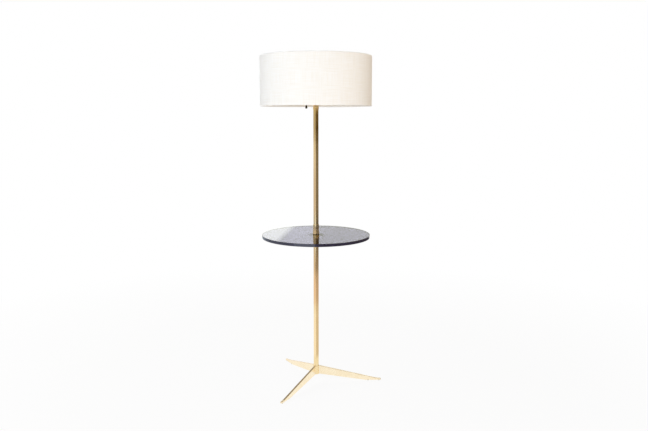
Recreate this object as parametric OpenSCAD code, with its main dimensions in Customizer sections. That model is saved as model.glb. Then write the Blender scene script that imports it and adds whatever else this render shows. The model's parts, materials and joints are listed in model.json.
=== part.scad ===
// Floor lamp with a round glass table, a tripod foot of flat brass blades and a drum shade.
// Millimetres, +Z up. The origin is on the floor under the pole, and +X runs along the right leg.

/* [Overall] */
// Height from the floor to the top edge of the shade
lamp_h = 1395; // [1300:5:1600]

/* [Shade] */
// Outer diameter of the drum
shade_d = 465; // [420:5:520]
// Height of the drum
shade_h = 205.5; // [195:0.5:230]
// Thickness of the linen cover
cover_t = 1.2; // [1:0.1:2]
// Thickness of the stiff lining behind the linen
lining_t = 0.8; // [0.6:0.1:1.2]
// Diameter of the wire rings in the two hems
ring_wire_d = 3; // [2.5:0.1:4]
// Drop of the spider's hub below the top edge
spider_drop = 22; // [20:1:26]

/* [Pole] */
// Outer diameter of the brass casing tubes
pole_d = 22; // [20:0.5:24]
// Wall of the casing tubes
pole_wall = 1.5; // [1:0.1:2]
// Outer diameter of the threaded pipe that clamps the stack
pipe_d = 9.7; // [9.7:0.1:10]
// Bore of the threaded pipe, where the wire runs
pipe_bore = 6.5; // [6.2:0.1:7]
// Diameter of the neck collar under the lights
neck_d = 24.5; // [24.5:0.5:28]

/* [Table] */
// Diameter of the glass
table_d = 458; // [400:1:500]
// Thickness of the glass
table_t = 12.5; // [10:0.5:15]
// Height of the glass's top face
table_z = 648.5; // [600:0.5:720]
// Height of the collar that clamps the glass from above
collar_h = 42; // [36:1:50]
// Diameter of the collar at its top
collar_top_d = 25; // [24.5:0.5:26.5]
// Diameter of the collar at the glass
collar_foot_d = 27.5; // [26.5:0.5:32]
// Diameter of the plate under the glass
flange_d = 76; // [60:1:100]

/* [Base] */
// Diameter of the hub that the legs meet in
hub_d = 24; // [24:0.5:30]
// Height of the hub's underside above the floor
hub_z = 31; // [26:1:36]
// Height of the hub
hub_h = 37; // [34:1:42]
// Distance from the pole's axis to the end of a leg
leg_reach = 282.5; // [260:0.5:310]
// Thickness of a leg's blade
leg_t = 8; // [6:0.5:10]
// Length of the flat foot at the end of a leg
foot_len = 67.5; // [50:0.5:80]
// Height of a leg's blade at its toe
toe_h = 6.5; // [5:0.5:9]
// Thickness of the felt pads
pad_h = 1.5; // [1:0.5:2.5]

/* [Lights] */
// Distance from the pole's axis to each lamp holder's axis
socket_r = 52; // [50:1:56]
// Distance from the pole's axis to each pull chain
pull_r = 78; // [76:1:82]
// Travel of a pull chain
pull_travel = 10; // [6:1:10]
// How far the front pull's lower end hangs below the shade, where it shows
pull_drop = 10.5; // [5:0.5:15]
// How far above the shade's lower edge the other pulls end
pull_rise = 12; // [11:1:13]
// Diameter of a bulb
bulb_d = 60; // [50:1:62]
// Length of a bulb's glass
bulb_len = 82; // [70:1:84]

/* [Hidden] */
$fn = 72;

// Finishes
brass = "#c9a55c";
dark_brass = "#5a5140";
steel = "#b9bcc0";
black = "#222224";
smoked_glass = [0.35, 0.34, 0.4, 0.6];
linen = "#f6f3ea";
opal = "#f4f2ea";

// Azimuths of the three legs, lights and pulls, and of the spider's arms between them
right = 0;
rear = 120;
front = 240;
AZIMUTHS = [right, rear, front];
arm_turn = 60;

// Clearances: round a part that slides on in assembly, and round the turning spider
slip = 0.1;
running = 0.05;
pipe_hole_d = pipe_d + 0.5;

// Pole: heights of the joints between the stacked pieces
hub_top = hub_z + hub_h;
pole_id = pole_d - 2 * pole_wall;
spigot_d = pole_id - slip;
spigot_h = 10;
glass_z = table_z - table_t;
pad_under = 1;
pad_over = 0.8;
seat_depth = 0.4;
seat_r = collar_foot_d / 2 + 0.7;
flange_plate = 4;
flange_neck = 18;
flange_z = glass_z - pad_under - flange_plate - flange_neck;
collar_z = table_z - seat_depth + pad_over;
collar_floor = 4;
shade_z = lamp_h - shade_h;
neck_h = 22;
neck_z = shade_z - 13.5;
cluster_z = neck_z + neck_h;
front_pull_z = shade_z - pull_drop;
hidden_pull_z = shade_z + pull_rise;

// Foot of the centre pipe inside the hub
recess_d = 16.5;
recess_h = 15;
pipe_z = hub_z + 4;
nut_h = 4.5;
nut_af = 13;
washer_h = 1;
bushing_d = 14;
bushing_h = 8.5;
bushing_bore = 6;

// Legs: a blade with a tongue in the hub's slot, a straight back and a flat foot
slot_r = 9;
knee_r = leg_reach - 20;
knee_h = 8.3;
toe_round = 2;
dowel_d = 4;
dowel_l = 12;
dowel_r = 5.7;
pad_d = 7;

// Cluster: a cup with a lid, three bent arms and a coupling that clamps the stack
cluster_d = 46;
cluster_h = 24;
cluster_wall = 2;
cluster_floor = 3;
lid_h = 3;
lid_lip = 2;
arm_d = 9.7;
arm_bore = 6.5;
arm_z = cluster_z + cluster_floor + 7;
arm_bend = 10;
arm_start_r = cluster_d / 2 - cluster_wall - 2;
arm_top = arm_z + arm_bend + 8;
coupling_d = 14;
coupling_h = 16;
coupling_z = cluster_z + cluster_h + lid_h;
riser_d = 8;

// Lamp holders, measured up from the cap's neck
cap_z = arm_z + arm_bend + 3;
cap_h = 17;
cap_t = 1;
shell_r = 15.9;
shell_t = 0.6;
shell_z = cap_z + cap_h - 2;
shell_h = 40;
rim_z = shell_z + shell_h;
liner_r = 15.1;
liner_t = 0.5;
core_r = 14;
core_z = cap_z + 11;
core_h = 17;
screw_r = 13.9;
screw_t = 0.5;
screw_z = core_z + core_h;
contact_gap = 1.5;
lead_d = 4;
splice_r = 12.5;

// Bulbs
base_r = 13.1;
base_z = screw_z + contact_gap;
thread_pitch = 3.6;
glass_foot_z = rim_z + 0.2;
bulb_neck_r = 14.3;
bulb_wall = 1;

// Pulls
guide_z = cap_z + 22;
guide_d = 6;
guide_bell_d = 8.4;
guide_bore = 4.6;
guide_low = guide_z - pull_travel;
bead_d = 3.2;
bead_pitch = 4.2;
link_d = 1.2;
chain_top_z = guide_z + 1;
bell_h = 20;
bell_mouth_d = 8.5;
bell_top_d = 4.6;

// Spider, seat and finial
hub_washer_h = 2.5;
spider_hub_d = 26;
spider_z = lamp_h - spider_drop - hub_washer_h;
seat_d = 18;
seat_h = 6;
seat_gap = 0.1;
finial_z = spider_z + hub_washer_h + seat_gap;
finial_h = 18;
spider_wire_d = 3;
weld = 0.3;
ring_r = shade_d / 2 - cover_t - lining_t - slip - ring_wire_d / 2;
ring_inset = cover_t + slip + ring_wire_d / 2;
lip_w = 2 * cover_t + lining_t + ring_wire_d + 2 * slip;
lip_h = 8;

module at_azimuth(a) {
    rotate([0, 0, a]) children();
}

module ring(od, id, z, h) {
    translate([0, 0, z])
        difference() {
            cylinder(d = od, h = h);
            translate([0, 0, -1]) cylinder(d = id, h = h + 2);
        }
}

module bore(d, z, h) {
    translate([0, 0, z]) cylinder(d = d, h = h);
}

// ---- base ----

// Side view of a leg from the pole's axis outwards
function leg_outline() = concat(
    [[slot_r, hub_z], [hub_d / 2, hub_z], [leg_reach - foot_len, pad_h], [leg_reach - toe_round, pad_h]],
    [for (t = [-90:15:0]) leg_corner(pad_h + toe_round, t)],
    [for (t = [0:15:90]) leg_corner(pad_h + toe_h - toe_round, t)],
    [[knee_r, pad_h + knee_h], [hub_d / 2, hub_top], [slot_r, hub_top]]
);

function leg_corner(z, t) = [leg_reach - toe_round + toe_round * cos(t), z + toe_round * sin(t)];

module leg(a) {
    color(brass)
        at_azimuth(a)
            difference() {
                rotate([90, 0, 0])
                    translate([0, 0, -leg_t / 2])
                        linear_extrude(leg_t) polygon(leg_outline());
                dowel_pair();
            }
}

module dowel_pair() {
    for (z = [hub_top - 16, hub_top - 7])
        translate([dowel_r, 0, z]) rotate([0, 90, 0]) cylinder(d = dowel_d, h = dowel_l);
}

module leg_dowels() {
    color(steel)
        for (a = AZIMUTHS) at_azimuth(a) dowel_pair();
}

module hub() {
    color(brass)
        difference() {
            union() {
                bore(hub_d, hub_z, hub_h);
                bore(spigot_d, hub_top, spigot_h);
            }
            bore(pipe_hole_d, hub_z - 1, hub_h + spigot_h + 2);
            bore(recess_d, hub_z - 1, recess_h + 1);
            for (a = AZIMUTHS)
                at_azimuth(a) {
                    translate([slot_r, -leg_t / 2, hub_z - 1]) cube([hub_d, leg_t, hub_h + 1]);
                    dowel_pair();
                }
        }
}

module foot_pads() {
    color(black)
        for (a = AZIMUTHS)
            at_azimuth(a)
                for (r = [leg_reach - foot_len + 12, leg_reach - 8])
                    translate([r, 0, 0]) cylinder(d = pad_d, h = pad_h);
}

module hub_washer() {
    color(steel) ring(recess_d - 1, pipe_hole_d, hub_z + recess_h - washer_h, washer_h);
}

module hub_nut() {
    color(steel)
        translate([0, 0, hub_z + recess_h - washer_h - nut_h])
            difference() {
                cylinder(d = nut_af / cos(30), h = nut_h, $fn = 6);
                translate([0, 0, -1]) cylinder(d = pipe_d, h = nut_h + 2);
            }
}

module cord_bushing() {
    color(black)
        difference() {
            bore(bushing_d, hub_z + 1, bushing_h);
            bore(bushing_bore, hub_z, bushing_h + 2);
            bore(pipe_d, pipe_z, bushing_h);
        }
}

// ---- pole ----

module centre_pipe() {
    color(steel)
        difference() {
            ring(pipe_d, pipe_bore, pipe_z, coupling_z + coupling_h / 2 - pipe_z);
            for (a = AZIMUTHS)
                at_azimuth(a) translate([0, 0, arm_z + 1]) rotate([0, 90, 0]) cylinder(d = 5, h = pipe_d);
        }
}

module pole_lower() {
    color(brass) ring(pole_d, pole_id, hub_top, flange_z - hub_top);
}

module pole_upper() {
    pole_foot = collar_z + collar_floor;
    color(brass) ring(pole_d, pole_id, pole_foot, neck_z - pole_foot);
}

module neck_collar() {
    edge = 0.8;
    color(brass)
        difference() {
            rotate_extrude()
                polygon([
                    [0, neck_z - spigot_h], [spigot_d / 2, neck_z - spigot_h], [spigot_d / 2, neck_z],
                    [neck_d / 2 - edge, neck_z], [neck_d / 2, neck_z + edge],
                    [neck_d / 2, cluster_z - edge], [neck_d / 2 - edge, cluster_z], [0, cluster_z]
                ]);
            bore(pipe_hole_d, neck_z - spigot_h - 1, neck_h + spigot_h + 2);
        }
}

// ---- table: the upper washer lies in a shallow seat that is ground round the hole of the glass ----

module table_flange() {
    plate_z = flange_z + flange_neck;
    top = plate_z + flange_plate;
    neck_r = pole_d / 2 + 1.5;
    sweep = 10;
    color(brass)
        difference() {
            rotate_extrude()
                polygon(concat(
                    [[0, flange_z - spigot_h], [spigot_d / 2, flange_z - spigot_h], [spigot_d / 2, flange_z]],
                    [[neck_r, flange_z], [neck_r, plate_z - sweep]],
                    [for (t = [15:15:90]) [neck_r + sweep * (1 - cos(t)), plate_z - sweep * (1 - sin(t))]],
                    [[flange_d / 2 - 1, plate_z + 2], [flange_d / 2, plate_z + 3]],
                    [[flange_d / 2, top], [0, top]]
                ));
            bore(pipe_hole_d, flange_z - spigot_h - 1, 2 * flange_neck + spigot_h);
        }
}

module glass_washers() {
    color(black) {
        ring(flange_d - 12, 20, glass_z - pad_under, pad_under);
        ring(collar_foot_d - 1, 20, table_z - seat_depth, pad_over);
    }
}

module glass_sleeve() {
    color("white") ring(17.6, pipe_hole_d, glass_z, table_t - seat_depth);
}

module table_glass() {
    arris = 1;
    hole_r = 9;
    color(smoked_glass)
        rotate_extrude()
            polygon([
                [hole_r, glass_z], [table_d / 2 - arris, glass_z], [table_d / 2, glass_z + arris],
                [table_d / 2, table_z - arris], [table_d / 2 - arris, table_z], [seat_r, table_z],
                [seat_r, table_z - seat_depth], [hole_r, table_z - seat_depth]
            ]);
}

// The collar's wall narrows from its foot by a quarter of a cosine wave
function collar_r(t) = collar_top_d / 2 + (collar_foot_d - collar_top_d) / 2 * (1 - sin(90 * t));

module table_collar() {
    foot = 2;
    flare = 24;
    edge = 0.8;
    top = collar_z + collar_h;
    color(brass)
        difference() {
            rotate_extrude()
                polygon(concat(
                    [[0, collar_z], [collar_foot_d / 2, collar_z]],
                    [for (t = [0:0.125:1]) [collar_r(t), collar_z + foot + t * flare]],
                    [[collar_top_d / 2, top - edge], [collar_top_d / 2 - edge, top], [0, top]]
                ));
            bore(pipe_hole_d, collar_z - 1, collar_h);
            bore(pole_d, collar_z + collar_floor, collar_h);
        }
}

// ---- light cluster ----

module cluster_body() {
    color(brass)
        difference() {
            rotate_extrude()
                polygon([
                    [pipe_hole_d / 2, cluster_z], [cluster_d / 2 - 5, cluster_z],
                    [cluster_d / 2, cluster_z + 4], [cluster_d / 2, cluster_z + cluster_h],
                    [cluster_d / 2 - cluster_wall, cluster_z + cluster_h],
                    [cluster_d / 2 - cluster_wall, cluster_z + cluster_floor + 2],
                    [cluster_d / 2 - cluster_wall - 2, cluster_z + cluster_floor],
                    [pipe_hole_d / 2, cluster_z + cluster_floor]
                ]);
            for (a = AZIMUTHS)
                at_azimuth(a) translate([0, 0, arm_z]) rotate([0, 90, 0]) cylinder(d = arm_d, h = cluster_d);
        }
}

module cluster_lid() {
    z = cluster_z + cluster_h;
    color(brass)
        difference() {
            rotate_extrude()
                polygon([
                    [0, z - lid_lip], [cluster_d / 2 - cluster_wall - slip, z - lid_lip],
                    [cluster_d / 2 - cluster_wall - slip, z], [cluster_d / 2, z], [cluster_d / 2, z + 1],
                    [cluster_d / 2 - 2, z + lid_h], [0, z + lid_h]
                ]);
            bore(pipe_hole_d, z - lid_lip - 1, lid_h + lid_lip + 2);
        }
}

module riser_coupling() {
    color(brass)
        difference() {
            bore(coupling_d, coupling_z, coupling_h);
            bore(pipe_d, coupling_z - 1, coupling_h / 2 + 1);
            bore(riser_d, coupling_z, coupling_h + 1);
        }
}

module riser() {
    foot = coupling_z + coupling_h / 2;
    color(brass) bore(riser_d, foot, finial_z + finial_h - 6 - foot);
}

// Path of an arm and of the wire in it: out, round a bend and up
module arm_path(d, r_in, top) {
    r_bend = socket_r - arm_bend;
    translate([r_in, 0, arm_z]) rotate([0, 90, 0]) cylinder(d = d, h = r_bend - r_in);
    translate([r_bend, 0, arm_z + arm_bend])
        rotate([90, 0, 0])
            rotate([0, 0, -90])
                rotate_extrude(angle = 90) translate([arm_bend, 0]) circle(d = d);
    translate([socket_r, 0, arm_z + arm_bend]) cylinder(d = d, h = top - arm_z - arm_bend);
}

module socket_arms() {
    color(brass)
        for (a = AZIMUTHS)
            at_azimuth(a)
                difference() {
                    arm_path(arm_d, arm_start_r, arm_top);
                    arm_path(arm_bore, arm_start_r - 1, arm_top + 1);
                }
}

module socket_leads() {
    lead_bend = 4;
    color("#e8e2d0")
        for (a = AZIMUTHS)
            at_azimuth(a) {
                arm_path(lead_d, splice_r + lead_bend, core_z);
                translate([splice_r + lead_bend, 0, arm_z + lead_bend])
                    rotate([90, 0, 0])
                        rotate([0, 0, 180])
                            rotate_extrude(angle = 90) translate([lead_bend, 0]) circle(d = lead_d);
            }
}

module splice_caps() {
    z = arm_z + 4;
    cap_top = cluster_z + cluster_h - lid_lip - 0.5;
    color(black)
        for (a = AZIMUTHS)
            at_azimuth(a)
                translate([splice_r, 0, z])
                    rotate_extrude()
                        polygon([[0, 0], [4.2, 0], [3, cap_top - z], [0, cap_top - z]]);
}

// ---- lamp holders ----

module at_socket(a) {
    at_azimuth(a) translate([socket_r, 0, 0]) children();
}

module socket_cap(a) {
    neck_r = 7;
    color(brass)
        at_socket(a)
            rotate_extrude()
                polygon([
                    [arm_d / 2, cap_z], [neck_r, cap_z], [neck_r, cap_z + 4], [10, cap_z + 5.5],
                    [14, cap_z + 8.5], [16.3, cap_z + 12.5], [17, cap_z + cap_h],
                    [17 - cap_t, cap_z + cap_h], [17 - cap_t, shell_z - 0.2], [15.3, cap_z + 13],
                    [13.2, cap_z + 9.5], [9.5, cap_z + 6.6], [arm_d / 2, cap_z + 5.4]
                ]);
}

module guide_hole() {
    translate([0, 0, guide_z]) rotate([0, 90, 0]) cylinder(d = guide_d + slip, h = 2 * shell_r);
}

module socket_shell(a) {
    rim = 0.6;
    color(brass)
        at_socket(a)
            difference() {
                rotate_extrude()
                    polygon([
                        [shell_r - shell_t, shell_z], [shell_r, shell_z], [shell_r, rim_z - 2],
                        [shell_r + rim, rim_z - 1.2], [shell_r + rim, rim_z - 0.4],
                        [shell_r, rim_z], [shell_r - shell_t, rim_z]
                    ]);
                guide_hole();
            }
}

module socket_liners() {
    color("#8a6b48")
        for (a = AZIMUTHS)
            at_socket(a)
                difference() {
                    ring(2 * liner_r, 2 * (liner_r - liner_t), shell_z + 0.5, shell_h - 2);
                    guide_hole();
                }
}

module socket_core(a) {
    color("#3a2418")
        at_socket(a)
            difference() {
                bore(2 * core_r, core_z, core_h);
                bore(20, core_z + core_h - 3, 4);
            }
}

module screw_shell(a) {
    color(steel)
        at_socket(a)
            ring(2 * screw_r, 2 * (screw_r - screw_t), screw_z, rim_z - 2 - screw_z);
}

module bulb_base(a) {
    threads = floor((rim_z - base_z - 5) / thread_pitch);
    depth = 0.8;
    tip_h = 4;
    color(steel)
        at_socket(a)
            rotate_extrude()
                polygon(concat(
                    [[0, base_z], [4.5, base_z], [5, base_z + 1], [base_r - depth, base_z + tip_h]],
                    [
                        for (i = [0:threads - 1], s = [0, 0.5])
                            [base_r - depth + 2 * s * depth, base_z + tip_h + (i + s + 0.25) * thread_pitch]
                    ],
                    [[base_r - depth, rim_z - 0.5], [base_r - depth, glass_foot_z], [0, glass_foot_z]]
                ));
}

// Half outline of a bulb: a neck that swells into a ball
function bulb_outline(inset) =
    let (ball = bulb_d / 2, centre = bulb_len - bulb_d / 2, neck = bulb_neck_r, low = 8)
    concat(
        [[0, 0], [neck - inset, 0]],
        [
            for (t = [0:0.1:1])
                [neck - inset + (ball - neck) * (1 - cos(180 * t)) / 2, low + (centre - low) * t]
        ],
        [for (t = [10:10:90]) [(ball - inset) * cos(t), centre + (ball - inset) * sin(t)]]
    );

module bulb_glass(a) {
    color(opal)
        at_socket(a)
            translate([0, 0, glass_foot_z])
                difference() {
                    rotate_extrude() polygon(bulb_outline(0));
                    translate([0, 0, -0.01]) rotate_extrude() polygon(bulb_outline(bulb_wall));
                }
}

// ---- pulls ----

module chain_guides() {
    color(brass)
        for (a = AZIMUTHS)
            at_azimuth(a)
                difference() {
                    union() {
                        translate([socket_r + core_r + slip, 0, guide_z])
                            rotate([0, 90, 0]) cylinder(d = guide_d, h = pull_r - socket_r - core_r);
                        translate([pull_r, 0, guide_low]) cylinder(d = guide_bell_d, h = pull_travel);
                        translate([pull_r, 0, guide_z]) sphere(d = guide_bell_d);
                    }
                    translate([pull_r, 0, guide_low - 1]) cylinder(d = guide_bore, h = pull_travel + 4);
                }
}

// Beads on a fine link wire, from inside the guide down into the bell
module pull_chain(a, low_z) {
    bell_top = low_z + bell_h;
    beads = floor((chain_top_z - bell_top) / bead_pitch);
    color(brass)
        at_azimuth(a)
            translate([pull_r, 0, 0]) {
                translate([0, 0, bell_top]) cylinder(d = link_d, h = chain_top_z - bell_top);
                for (i = [0:beads])
                    translate([0, 0, chain_top_z - i * bead_pitch]) sphere(d = bead_d, $fn = 24);
            }
}

module pull_bell(a, low_z) {
    color(dark_brass)
        at_azimuth(a)
            translate([pull_r, 0, low_z])
                rotate_extrude()
                    polygon([
                        [0, 0], [bell_mouth_d / 2 - 0.6, 0], [bell_mouth_d / 2, 0.8], [bell_mouth_d / 2, 4],
                        [bell_mouth_d / 2 - 0.5, 9], [bell_top_d / 2 + 0.4, 13], [bell_top_d / 2, 15],
                        [bell_top_d / 2, bell_h - 0.6], [bell_top_d / 2 - 0.6, bell_h], [0, bell_h]
                    ]);
}

// ---- shade and what carries it ----

module shade_seat() {
    color(brass)
        difference() {
            bore(seat_d, spider_z - seat_gap - seat_h, seat_h);
            bore(riser_d, spider_z - seat_h - 2, seat_h + 3);
        }
}

module finial() {
    color(brass)
        translate([0, 0, finial_z])
            difference() {
                rotate_extrude()
                    polygon([
                        [0, 0], [8, 0], [8, 4], [5.5, 5.5], [5.5, 7], [8, 9.5],
                        [8.6, 12], [7.6, 15], [4.5, finial_h - 0.6], [0, finial_h]
                    ]);
                translate([0, 0, -1]) cylinder(d = riser_d, h = finial_h - 5);
            }
}

// One arm of the spider, from its hub up to its weld on the top ring
module spider_arm(d) {
    start = [spider_hub_d / 2 - 3, spider_z + hub_washer_h / 2];
    end = [ring_r - ring_wire_d / 2 + weld, lamp_h - ring_inset];
    rise = atan2(end.y - start.y, end.x - start.x);
    translate([start.x, 0, start.y]) rotate([0, 90 - rise, 0]) cylinder(d = d, h = norm(end - start));
}

module spider() {
    color(steel)
        difference() {
            union() {
                bore(spider_hub_d, spider_z, hub_washer_h);
                for (a = AZIMUTHS) at_azimuth(a + arm_turn) spider_arm(spider_wire_d);
            }
            bore(riser_d + 2 * running, spider_z - 2, hub_washer_h + 4);
        }
}

module shade_rings() {
    color(steel)
        for (z = [shade_z + ring_inset, lamp_h - ring_inset])
            translate([0, 0, z]) rotate_extrude() translate([ring_r, 0]) circle(d = ring_wire_d);
}

module shade_lining() {
    outer = shade_d - 2 * cover_t;
    color("white") ring(outer, outer - 2 * lining_t, shade_z + cover_t, shade_h - 2 * cover_t);
}

// The linen wraps over both rings and down behind them
module shade_cover() {
    outer = shade_d / 2;
    inner = outer - cover_t;
    lip = outer - lip_w;
    z_low = shade_z;
    z_high = lamp_h;
    color(linen)
        difference() {
            rotate_extrude()
                polygon([
                    [outer, z_low], [outer, z_high], [lip, z_high], [lip, z_high - lip_h],
                    [lip + cover_t, z_high - lip_h], [lip + cover_t, z_high - cover_t],
                    [inner, z_high - cover_t], [inner, z_low + cover_t],
                    [lip + cover_t, z_low + cover_t], [lip + cover_t, z_low + lip_h],
                    [lip, z_low + lip_h], [lip, z_low]
                ]);
            for (a = AZIMUTHS) at_azimuth(a + arm_turn) spider_arm(spider_wire_d + 2);
        }
}

hub();
leg(right);  // leg_right
leg(rear);  // leg_rear
leg(front);  // leg_front
leg_dowels();
foot_pads();
hub_washer();
hub_nut();
cord_bushing();
centre_pipe();
pole_lower();
pole_upper();
neck_collar();
table_flange();
glass_washers();
glass_sleeve();
table_glass();
table_collar();
cluster_body();
cluster_lid();
riser_coupling();
riser();
shade_seat();
finial();
socket_arms();
socket_liners();
chain_guides();
socket_leads();
splice_caps();
socket_cap(right);  // socket_cap_right
socket_cap(rear);  // socket_cap_rear
socket_cap(front);  // socket_cap_front
socket_shell(right);  // socket_shell_right
socket_shell(rear);  // socket_shell_rear
socket_shell(front);  // socket_shell_front
socket_core(right);  // socket_core_right
socket_core(rear);  // socket_core_rear
socket_core(front);  // socket_core_front
screw_shell(right);  // screw_shell_right
screw_shell(rear);  // screw_shell_rear
screw_shell(front);  // screw_shell_front
bulb_base(right);  // bulb_base_right
bulb_base(rear);  // bulb_base_rear
bulb_base(front);  // bulb_base_front
bulb_glass(right);  // bulb_glass_right
bulb_glass(rear);  // bulb_glass_rear
bulb_glass(front);  // bulb_glass_front
pull_chain(right, hidden_pull_z);  // pull_chain_right
pull_chain(rear, hidden_pull_z);  // pull_chain_rear
pull_chain(front, front_pull_z);  // pull_chain_front
pull_bell(right, hidden_pull_z);  // pull_bell_right
pull_bell(rear, hidden_pull_z);  // pull_bell_rear
pull_bell(front, front_pull_z);  // pull_bell_front
spider();
shade_rings();
shade_lining();
shade_cover();
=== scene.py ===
# %% [markdown]
# # Dressing a floor lamp with a glass table
# The lamp's construction is already made: the script loads it as a fixed frame of named nodes, in
# metres, with the pole on the Z axis. What is added here is what the eye meets: linen, lining, turned
# and brushed brass, smoked glass, bead chains and felt. Each new piece takes its place and its sizes
# from the node that it dresses, so nothing has to be fitted by eye.

# %% Load the frame
import json
import math

import bmesh
import bpy
from mathutils import Matrix, Vector


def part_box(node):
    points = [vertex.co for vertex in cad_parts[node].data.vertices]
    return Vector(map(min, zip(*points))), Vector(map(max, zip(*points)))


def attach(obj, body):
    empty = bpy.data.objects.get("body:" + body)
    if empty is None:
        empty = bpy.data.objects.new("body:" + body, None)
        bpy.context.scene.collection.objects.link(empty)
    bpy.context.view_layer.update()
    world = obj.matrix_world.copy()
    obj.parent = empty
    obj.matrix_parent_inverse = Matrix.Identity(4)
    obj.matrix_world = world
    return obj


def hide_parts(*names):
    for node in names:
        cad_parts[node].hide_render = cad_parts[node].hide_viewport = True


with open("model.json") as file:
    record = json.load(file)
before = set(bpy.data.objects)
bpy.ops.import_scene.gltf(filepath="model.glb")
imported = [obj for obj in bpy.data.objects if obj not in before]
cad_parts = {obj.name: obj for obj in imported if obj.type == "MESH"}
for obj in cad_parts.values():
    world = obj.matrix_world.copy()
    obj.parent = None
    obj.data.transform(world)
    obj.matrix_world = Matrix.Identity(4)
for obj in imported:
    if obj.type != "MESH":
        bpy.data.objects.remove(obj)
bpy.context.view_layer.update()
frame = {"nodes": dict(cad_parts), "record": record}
NODES = frame["nodes"]
MM = 0.001
SIDES = {"right": 0, "rear": 120, "front": 240}

# %% [markdown]
# ## Camera
# The photograph was taken from about eye level of a seated person, close to three metres away, with
# the camera tilted down a little. The picture's centre lies above the point that the lens looks at, so
# the camera has a small vertical shift as well.

# %% Camera
CAMERA_AT = Vector((0, -2.812, 1.140))
PAN = math.radians(0.69)
TILT = math.radians(6.61)
IMAGE_WIDTH_PX = 648
RISE_PX = 20

camera = bpy.data.objects.new("camera", bpy.data.cameras.new("camera"))
camera.data.lens = 37.07
camera.data.sensor_width = 36
camera.data.shift_y = -RISE_PX / IMAGE_WIDTH_PX
camera.location = CAMERA_AT
camera.rotation_euler = (math.pi / 2 - TILT, 0, -PAN)
bpy.context.scene.collection.objects.link(camera)
bpy.context.scene.camera = camera
bpy.context.scene.view_settings.view_transform = "Standard"

# %% [markdown]
# ## Small helpers
# Colours are written as sRGB hex, the way that a paint chart or a picture editor gives them, and one
# function turns them linear. A second adds a node of any kind to any node tree, with its settings, its
# links and, on a Color Ramp, its stops. A third starts a material.

# %% Colour and node helpers
def linear(hex_text):
    """An sRGB colour such as '#c9a55c' as the linear RGBA that Blender's sockets hold."""
    parts = [int(hex_text[i : i + 2], 16) / 255 for i in (1, 3, 5)]
    return (*[c / 12.92 if c <= 0.04045 else ((c + 0.055) / 1.055) ** 2.4 for c in parts], 1.0)


def add(tree, kind, inputs=(), stops=(), **settings):
    """Adds a node with its settings. Its inputs are values, sockets or nodes, in order or by name."""
    made = tree.nodes.new(kind)
    for name, value in settings.items():
        setattr(made, name, value)
    for name, value in inputs.items() if isinstance(inputs, dict) else enumerate(inputs):
        if isinstance(value, bpy.types.Node):
            value = value.outputs[0]
        if isinstance(value, bpy.types.NodeSocket):
            tree.links.new(value, made.inputs[name])
        else:
            made.inputs[name].default_value = value
    if stops:
        elements = made.color_ramp.elements
        elements[0].position, elements[0].color = stops[0]
        elements[1].position, elements[1].color = stops[-1]
        for position, colour in stops[1:-1]:
            elements.new(position).color = colour
    return made


def material(name, hex_text, roughness, **sockets):
    """A material with a Principled shader. Uniform values go on the shader's own sockets."""
    made = bpy.data.materials.new(name)
    made.use_nodes = True
    shader = made.node_tree.nodes["Principled BSDF"]
    shader.inputs["Base Color"].default_value = linear(hex_text)
    shader.inputs["Roughness"].default_value = roughness
    for socket, value in sockets.items():
        shader.inputs[socket.replace("_", " ")].default_value = value
    return made, made.node_tree, shader

# %% [markdown]
# ## Brass
# Everything golden on the lamp is brass, but it was finished in three ways. The tubes were drawn and
# lacquered, so they are nearly mirrors. The legs were cut from plate and brushed along their length.
# The small parts were turned on a lathe, which leaves fine rings. The tubes and the turned parts share
# a colour, and the legs' brass is written paler, a painted brightness for the light that the blades
# catch. Each colour drifts a little, because lacquer yellows unevenly and hands leave a film.

# %% Brass that drifts in tone and gloss
BRASS_LIGHT = "#f9e4b8"
BRASS_DEEP = "#f0d6a0"


def toned(tree, shader, share, light, deep):
    """Lets the base colour run from one tone to another with a share between 0 and 1."""
    tone = add(tree, "ShaderNodeMix", {0: share, 6: linear(light), 7: linear(deep)}, data_type="RGBA")
    tree.links.new(tone.outputs[2], shader.inputs["Base Color"])


def drift(tree, shader, coords, light, deep, gloss, size_mm=45):
    """Slow changes of colour and of gloss over a surface, a few centimetres wide."""
    noise = add(tree, "ShaderNodeTexNoise", {"Vector": coords, "Scale": 1000 / size_mm, "Detail": 3.0})
    toned(tree, shader, noise, light, deep)
    film = add(tree, "ShaderNodeMapRange", [noise, 0.35, 0.7, gloss[0], gloss[1]])
    tree.links.new(film.outputs["Result"], shader.inputs["Roughness"])


def relief(tree, shader, height, depth_mm):
    """Bump from a height between 0 and 1, as deep as it is on the real surface."""
    bump = add(tree, "ShaderNodeBump", {"Height": height, "Distance": depth_mm * MM, "Strength": 1.0})
    tree.links.new(bump.outputs["Normal"], shader.inputs["Normal"])


def scaled(tree, coords, spacing_mm):
    """Coordinates in which one unit is the given spacing along X, Y and Z, in millimetres."""
    scale = Vector([1000 / s for s in spacing_mm])
    return add(tree, "ShaderNodeMapping", {"Vector": coords, "Scale": scale}).outputs["Vector"]


def drawn_brass():
    """Lacquered tube: drawing through a die leaves long faint lines, so the grain runs along Z."""
    made, tree, shader = material("drawn_lacquered_brass", BRASS_LIGHT, 0.12, Metallic=1.0)
    coords = add(tree, "ShaderNodeTexCoord").outputs["Object"]
    drift(tree, shader, coords, BRASS_LIGHT, BRASS_DEEP, (0.10, 0.18))
    grain = add(tree, "ShaderNodeTexNoise", {"Vector": scaled(tree, coords, (1.2, 1.2, 60)), "Scale": 1.0})
    relief(tree, shader, grain, 0.005)
    return made


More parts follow.
